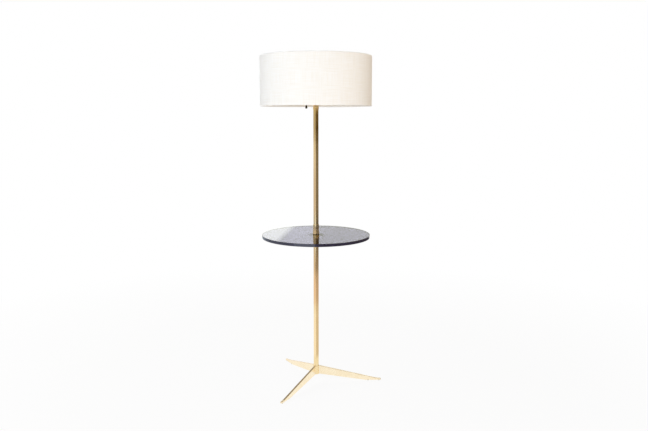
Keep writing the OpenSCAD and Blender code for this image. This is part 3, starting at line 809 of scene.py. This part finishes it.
# %% Bead chains and bells
def chain_tree():
    tree, size = start_tree(
        "bead_chain", Top=1.244, End=1.199, Pitch=0.0042, Bead=0.0016, Link=0.0006, Reach=0.078,
    )
    length = add(tree, "ShaderNodeMath", [size["Top"], size["End"]], operation="SUBTRACT")
    gaps = add(tree, "ShaderNodeMath", [length, size["Pitch"]], operation="DIVIDE")
    gaps = add(tree, "ShaderNodeMath", [gaps], operation="FLOOR")
    count = add(tree, "ShaderNodeMath", [gaps, 1.0], operation="ADD")
    start = add(tree, "ShaderNodeCombineXYZ", {"X": size["Reach"], "Z": size["Top"]})
    step = add(tree, "ShaderNodeMath", [size["Pitch"], -1.0], operation="MULTIPLY")
    line = {"Count": count, "Start Location": start, "Offset": add(tree, "ShaderNodeCombineXYZ", {"Z": step})}
    row = add(tree, "GeometryNodeMeshLine", line)
    bead = add(tree, "GeometryNodeMeshUVSphere", {"Segments": 12, "Rings": 8, "Radius": size["Bead"]})
    beads = add(tree, "GeometryNodeInstanceOnPoints", {"Points": row, "Instance": bead})
    wire = add(tree, "GeometryNodeMeshCylinder", {"Vertices": 8, "Radius": size["Link"], "Depth": length})
    middle = add(tree, "ShaderNodeMath", [length, 0.5, size["End"]], operation="MULTIPLY_ADD")
    links = moved(tree, wire, {"X": size["Reach"], "Z": middle})
    both = add(tree, "GeometryNodeJoinGeometry", [beads])
    tree.links.new(links.outputs[0], both.inputs[0])
    end_tree(tree, size, both)
    return tree


CHAIN = chain_tree()
BELL = [
    (0, 3), (2.6, 2.6), (3.4, 0.4), (3.65, 0), (4.25, 0.8), (4.25, 4), (3.9, 8), (3.1, 11.5), (2.5, 13.6),
    (2.3, 15), (2.3, 19.4), (1.7, 20), (0, 20),
]
BEAD_R = 1.6 * MM
for side, azimuth in SIDES.items():
    x, y, _, _, bell_top = own_span(f"pull_bell_{side}")
    first_bead = own_span(f"pull_chain_{side}")[4] - BEAD_R
    name, body, stands_for = f"bead_chain_{side}", f"pull_{side}", [f"pull_chain_{side}"]
    sizes = {"Top": first_bead, "End": bell_top, "Reach": math.hypot(x, y), "Bead": BEAD_R}
    grown(name, CHAIN, TURNED, body, "satin_brass", stands_for, azimuth, 50, **sizes)
    lathe(f"bell_{side}", f"pull_bell_{side}", BELL, BRONZE, 0.4, 32, body)

# %% [markdown]
# ## The shade
# A drum shade is a strip of linen glued to stiff styrene, and both are rolled round two wire rings.
# The linen is longer at each hem, so it folds over the ring and down behind it. Its ends overlap in one
# upright seam, here at the back. The strip is built as its maker lays it: a cross-section from hem to
# hem, carried round the drum, a little further out where it runs over its own start. Its UV map is
# the flat strip in metres, which the weave follows.

# %% Linen cover
CLOTH_T = 1.2 * MM
HEM_H = 8 * MM
HEM_FOLD = 5.2 * MM
SEAM_AT = math.radians(90)
SEAM_LAP = 12 * MM
SEAM_RISE = 6 * MM
DRUM_R, DRUM_LOW, DRUM_HIGH = span("shade_cover")


def cover_section():
    """The middle of the cloth from hem to hem, as (radius, height)."""
    outside = DRUM_R - CLOTH_T / 2
    inside = outside - HEM_FOLD
    low, high = DRUM_LOW + CLOTH_T / 2, DRUM_HIGH - CLOTH_T / 2
    rises = [low + (high - low) * t / 8 for t in range(1, 8)]
    corners = [(inside, DRUM_LOW + HEM_H), (inside, low), (outside, low)]
    corners += [(outside, height) for height in rises]
    corners += [(outside, high), (inside, high), (inside, DRUM_HIGH - HEM_H)]
    return soften(corners, 2.2, steps=5, closed=False)


def linen_strip():
    """The strip as a bmesh with its UV map, and its flat size."""
    section = cover_section()
    lengths = [0.0]
    for a, b in zip(section, section[1:]):
        lengths.append(lengths[-1] + (b - a).length)
    round_length = 2 * math.pi * DRUM_R
    whole = round_length + SEAM_LAP
    columns = 260
    builder = bmesh.new()
    flat = builder.loops.layers.uv.new("cloth")
    grid = []
    for column in range(columns + 1):
        along = whole * column / columns
        angle = SEAM_AT + along / DRUM_R
        lift = CLOTH_T * min(1, max(0, (along - (round_length - SEAM_RISE)) / SEAM_RISE))
        row = []
        for i, point in enumerate(section):
            before, after = section[max(i - 1, 0)], section[min(i + 1, len(section) - 1)]
            run = (after - before).normalized()
            away = point + Vector((run.y, -run.x)) * lift
            row.append(builder.verts.new((away.x * math.cos(angle), away.x * math.sin(angle), away.y)))
        grid.append(row)
    for column in range(columns):
        for i in range(len(section) - 1):
            steps = [(column, i), (column + 1, i), (column + 1, i + 1), (column, i + 1)]
            face = builder.faces.new([grid[c][k] for c, k in steps])
            for loop, (c, k) in zip(face.loops, steps):
                loop[flat].uv = (whole * c / columns, lengths[k])
    return builder, (whole, lengths[-1])


strip, flat_size = linen_strip()
cover = finished("linen_cover", strip, [LINEN], "shade", ["shade_cover"], 60)
thick = cover.modifiers.new("thickness", "SOLIDIFY")
thick.thickness = CLOTH_T * 0.9
thick.offset = 0
print("linen cut to", [round(side, 4) for side in flat_size], "m")

# %% Lining
LINING_T = 0.8 * MM
radius, low, high = span("shade_lining")
section = [(radius - LINING_T, low), (radius, low), (radius, high), (radius - LINING_T, high)]
lining = turned(section, steps=192)
finished("styrene_drum", lining, [STYRENE], "shade", ["shade_lining"], 40)

# %% [markdown]
# ## Small parts that repeat
# The spider's wires are welded to the upper ring, which leaves a small bead at each end. The felt
# pads under the feet were punched from sheet, so they are flat with soft sides.

# %% Weld beads
def bead_tree():
    """A flattened bead at each wire's end."""
    tree, size = start_tree("weld_beads", Reach=0.2273, Height=1.3922, Radius=0.0024, Start=math.radians(60))
    blob = add(tree, "GeometryNodeMeshIcoSphere", {"Radius": size["Radius"], "Subdivisions": 3})
    placed = moved(tree, blob, {"X": size["Reach"], "Z": size["Height"]}, Scale=(1.0, 1.3, 0.75))
    end_tree(tree, size, around(tree, placed, 3, size["Start"]))
    return tree


WIRE_R = 1.5 * MM
ring_r, _, ring_top = span("shade_rings")
upper_ring = {"Reach": ring_r - 2 * WIRE_R, "Height": ring_top - WIRE_R}
grown("weld_beads", bead_tree(), ENAMEL, "shade", "white_steel", **upper_ring)

# %% Felt pads
def pad_tree():
    """Two felt discs under each foot, with sides that give way a little."""
    tree, size = start_tree("felt_pads", Heel=0.227, Toe=0.2745, Radius=0.0035, Height=0.0015, Softness=0.4)
    shape = {"Vertices": 28, "Side Segments": 4, "Radius": size["Radius"], "Depth": size["Height"]}
    disc = add(tree, "GeometryNodeMeshCylinder", shape)
    spot = add(tree, "GeometryNodeInputPosition")
    place = add(tree, "ShaderNodeSeparateXYZ", [spot])
    level = add(tree, "ShaderNodeMath", [place.outputs["Z"], size["Height"]], operation="DIVIDE")
    square = add(tree, "ShaderNodeMath", [level, level], operation="MULTIPLY")
    draw = add(tree, "ShaderNodeMath", [square, size["Softness"]], operation="MULTIPLY")
    narrow = add(tree, "ShaderNodeMath", [1.0, draw], operation="SUBTRACT")
    scale = add(tree, "ShaderNodeCombineXYZ", {"X": narrow, "Y": narrow, "Z": 1.0})
    drawn_in = add(tree, "ShaderNodeVectorMath", [spot, scale], operation="MULTIPLY")
    soft = add(tree, "GeometryNodeSetPosition", {"Geometry": disc, "Position": drawn_in})
    lift = add(tree, "ShaderNodeMath", [size["Height"], 0.5], operation="MULTIPLY")
    both = add(tree, "GeometryNodeJoinGeometry")
    for reach in ("Heel", "Toe"):
        pad = moved(tree, soft, {"X": size[reach], "Z": lift})
        tree.links.new(pad.outputs[0], both.inputs[0])
    end_tree(tree, size, around(tree, both, 3))
    return tree


grown("felt_discs", pad_tree(), FELT, "stand", "black_felt", ["foot_pads"], 0, 60)

# %% [markdown]
# ## The studio
# Polished metal and glass have hardly any colour of their own: they show the room. So the room is made
# with as much care as the lamp. The backdrop and the floor are white to the camera, to reflections and
# through the glass. The light that falls on the lamp is softer than that, cool from the left and warm
# from the right. The floor fades into the backdrop, and keeps a faint shadow near the feet.

# %% World and floor
AMBIENT_LEFT = (0.42, 0.45, 0.47, 1)
AMBIENT_MIDDLE = (0.30, 0.35, 0.41, 1)
AMBIENT_RIGHT = (0.50, 0.27, 0.01, 1)
WHITE = (1, 1, 1, 1)
FLOOR_LIFT = 0.92
FADE_FROM, FADE_TO = 1.0, 2.4
FLOOR_SIZE = 30


def reflected(tree):
    """1 for rays that left metal or glass, which always meet the white background."""
    path = add(tree, "ShaderNodeLightPath").outputs
    either = [path["Is Glossy Ray"], path["Is Transmission Ray"]]
    return add(tree, "ShaderNodeMath", either, operation="MAXIMUM"), path["Is Camera Ray"]


world = bpy.data.worlds.new("studio")
bpy.context.scene.world = world
world.use_nodes = True
tree = world.node_tree
direction = add(tree, "ShaderNodeSeparateXYZ", [add(tree, "ShaderNodeTexCoord").outputs["Generated"]])
across = add(tree, "ShaderNodeMapRange", [direction.outputs["X"], -1.0, 1.0])
tones = [(0, AMBIENT_LEFT), (0.5, AMBIENT_MIDDLE), (1, AMBIENT_RIGHT)]
ambient = add(tree, "ShaderNodeValToRGB", {"Fac": across}, tones)
mirror, direct = reflected(tree)
seen = add(tree, "ShaderNodeMath", [mirror, direct], operation="MAXIMUM")
sky = add(tree, "ShaderNodeMix", {0: seen, 6: ambient, 7: WHITE}, data_type="RGBA")
tree.links.new(sky.outputs[2], tree.nodes["Background"].inputs["Color"])


def staged(name, builder, finish):
    """A piece of the studio."""
    mesh = bpy.data.meshes.new(name)
    builder.to_mesh(mesh)
    builder.free()
    mesh.materials.append(finish)
    made = bpy.data.objects.new(name, mesh)
    bpy.context.scene.collection.objects.link(made)
    return made


def empty_material(name):
    made = bpy.data.materials.new(name)
    made.use_nodes = True
    made.node_tree.nodes.clear()
    return made, made.node_tree


def floor_paper():
    """White paper: lit by the lamps near the lamp's feet, and as white as the backdrop further off."""
    made, tree = empty_material("white_floor_paper")
    place = add(tree, "ShaderNodeTexCoord").outputs["Object"]
    distance = add(tree, "ShaderNodeVectorMath", [place], operation="LENGTH").outputs["Value"]
    fade = add(tree, "ShaderNodeMapRange", [distance, FADE_FROM, FADE_TO, FLOOR_LIFT, 1.0])
    mirror, direct = reflected(tree)
    lifted = add(tree, "ShaderNodeMath", [fade, direct, mirror], operation="MULTIPLY_ADD")
    paper = add(tree, "ShaderNodeBsdfDiffuse", {"Color": (0.86, 0.86, 0.86, 1)})
    white = add(tree, "ShaderNodeEmission", {"Strength": 1.0})
    mixed = add(tree, "ShaderNodeMixShader", [lifted, paper, white])
    add(tree, "ShaderNodeOutputMaterial", {"Surface": mixed})
    return made


builder = bmesh.new()
bmesh.ops.create_grid(builder, x_segments=1, y_segments=1, size=FLOOR_SIZE / 2)
staged("floor", builder, floor_paper())

# %% [markdown]
# Cards give the brass its light and dark sides, as a photographer's flags and reflectors do. Only
# reflections see them: they light nothing and hide nothing. Each is a screen that curves round the
# pole, and its tone changes with height. An upright tube mirrors what stands about level with it, so a
# dark band high up on the cards makes the dark stretch under the shade. The lens looks down on the
# lower half of the pole, which therefore mirrors the floor, where some cards lie flat.

# %% Cards that only reflections see
CARD_R = 2.0
STRIP_R = 1.9
CARD_TOP = 1.3
DARK_TOP = 3.0
OFF_FLOOR = 0.004
CARD_STEPS = 30


def card(name, quads, tones, strength=1.0):
    """A screen of quads, with its tones by height above the floor in metres."""
    made, tree = empty_material(name)
    place = add(tree, "ShaderNodeTexCoord").outputs["Object"]
    height = add(tree, "ShaderNodeSeparateXYZ", [place]).outputs["Z"]
    level = add(tree, "ShaderNodeMapRange", [height, 0.0, CARD_TOP])
    stops = [(z / CARD_TOP, linear(tone)) for z, tone in tones]
    tone = add(tree, "ShaderNodeValToRGB", {"Fac": level}, stops)
    glow = add(tree, "ShaderNodeEmission", {"Color": tone, "Strength": strength})
    add(tree, "ShaderNodeOutputMaterial", {"Surface": glow})
    builder = bmesh.new()
    for quad in quads:
        builder.faces.new([builder.verts.new(corner) for corner in quad])
    screen = staged(name, builder, made)
    for ray in ("camera", "diffuse", "transmission", "shadow"):
        setattr(screen, f"visible_{ray}", False)
    return tree, glow


def around_pole(azimuth, radius, height):
    """A point by its azimuth, which runs from the camera towards the right."""
    return radius * math.sin(azimuth), -radius * math.cos(azimuth), height


def curved(start, end, inner, outer):
    """Quads between two (radius, height) edges, from one azimuth to another."""
    turns = [math.radians(start + (end - start) * i / CARD_STEPS) for i in range(CARD_STEPS + 1)]
    return [
        (around_pole(a, *inner), around_pole(b, *inner), around_pole(b, *outer), around_pole(a, *outer))
        for a, b in zip(turns, turns[1:])
    ]


def upright(start, end, radius, low, high):
    return curved(start, end, (radius, low), (radius, high))


def lying(start, end, inner, outer):
    """A flat ring piece just above the floor."""
    return curved(start, end, (inner, OFF_FLOOR), (outer, OFF_FLOOR))


card("dark_side", upright(-4, 150, CARD_R, 0.01, DARK_TOP), [
    (0, "#988980"), (0.2, "#8a7f76"), (0.25, "#605c5c"), (0.38, "#605c5c"), (0.45, "#82796f"),
    (0.965, "#82796f"), (0.985, "#4c3c22"), (1.19, "#4c3c22"), (1.23, "#bba273"),
])
card("light_side", upright(-165, -4, CARD_R, 0.01, CARD_TOP), [
    (0, "#d8cbc4"), (0.2, "#d8cbc4"), (0.25, "#bec8d2"), (0.38, "#bec8d2"), (0.45, "#d6ccca"),
    (0.7, "#d6ccca"), (0.965, "#efebe6"), (0.985, "#bdb19c"), (1.19, "#bdb19c"), (1.23, "#dacd94"),
])
card("narrow_reflector", upright(-44, -2, STRIP_R, 0.21, 0.42), [(0, "#e6f2ff")], 1.4)
card("shaded_strip_low", upright(-40, -4, STRIP_R, 0.01, 0.21), [(0, "#a99b93")])
card("shaded_strip_high", upright(-40, -4, STRIP_R, 0.97, 1.2), [(0, "#9f9481")])
card("back_wall", upright(150, 180, CARD_R, 0.85, CARD_TOP), [(0, "#e6e6dc")])
card("floor_flag_near", lying(-4, 150, 0.3, 1.2), [(0, "#dfd5cc")])
card("floor_flag_far", lying(-4, 150, 1.2, CARD_R), [(0, "#ccb7b1")])
card("floor_warm", lying(-165, -4, 1.2, CARD_R), [(0, "#f4dfd9")])
card("floor_bright", lying(-165, -4, 0.3, 1.0), [(0, "#fbfaff")], 1.1)
ceiling = [(-2.5, 0.3, 2.6), (2.5, 0.3, 2.6), (2.5, 4, 2.6), (-2.5, 4, 2.6)]
card("ceiling_flag", [ceiling], [(0, "#8d8271")])
skirting = [(-0.9, 3, 0.0), (0.9, 3, 0.0), (0.9, 3, 0.3), (-0.9, 3, 0.3)]
card("skirting", [skirting], [(0, "#ecd2c2")])

# %% [markdown]
# The bright patch on the left of the table is a window behind the lamp, mirrored in the glass: a card
# that only reflections see. Its right-hand edge leans, and the card's glow is painted to rise over the
# first few centimetres in from that edge, which softens the mirrored edge.

# %% Window
WINDOW_Y = 2.0
EDGE_FOOT = Vector((0.005, 0.8))
EDGE_HEAD = Vector((-0.41, 1.2))
WINDOW_LEFT = -1.2
WINDOW_GAIN = 0.8
WINDOW_FADE = 0.04

run = (EDGE_HEAD - EDGE_FOOT).normalized()
sill = [(WINDOW_LEFT, WINDOW_Y, EDGE_HEAD.y), (WINDOW_LEFT, WINDOW_Y, EDGE_FOOT.y)]
edge = [(EDGE_FOOT.x, WINDOW_Y, EDGE_FOOT.y), (EDGE_HEAD.x, WINDOW_Y, EDGE_HEAD.y)]
tree, glow = card("window", [[*edge, *sill]], [(0, "#fbfdf6")])
place = [add(tree, "ShaderNodeTexCoord").outputs["Object"], edge[0]]
inward = [add(tree, "ShaderNodeVectorMath", place, operation="SUBTRACT"), (-run.y, 0, run.x)]
depth = add(tree, "ShaderNodeVectorMath", inward, operation="DOT_PRODUCT").outputs["Value"]
# The glow rises from the edge inwards: a painted softening of the edge that the glass mirrors.
gain = add(tree, "ShaderNodeMapRange", [depth, 0.0, WINDOW_FADE, 1.0, 1.0 + WINDOW_GAIN])
tree.links.new(gain.outputs["Result"], glow.inputs["Strength"])

# %% [markdown]
# Large soft lamps stand in for the photographer's: one near the camera, one to the left, and a weaker
# one behind, so that the lamp's back isn't left in the dark. Reflections don't see them, because the
# cards already stand there.

# %% Lamps
LAMPS = {
    "front_softbox": {"azimuth": 14, "height": 1.3, "distance": 3.2, "size": 2.0, "watts": 54},
    "left_softbox": {"azimuth": -78, "height": 1.4, "distance": 2.6, "size": 1.8, "watts": 26},
    "back_softbox": {"azimuth": 172, "height": 1.8, "distance": 3.2, "size": 2.0, "watts": 36},
}
AIM = Vector((0, 0, 1.1))
for name, lamp in LAMPS.items():
    light = bpy.data.objects.new(name, bpy.data.lights.new(name, "AREA"))
    light.data.size = lamp["size"]
    light.data.energy = lamp["watts"]
    light.location = around_pole(math.radians(lamp["azimuth"]), lamp["distance"], lamp["height"])
    light.rotation_euler = (AIM - light.location).to_track_quat("-Z", "Y").to_euler()
    light.visible_camera = False
    light.visible_glossy = False
    bpy.context.scene.collection.objects.link(light)
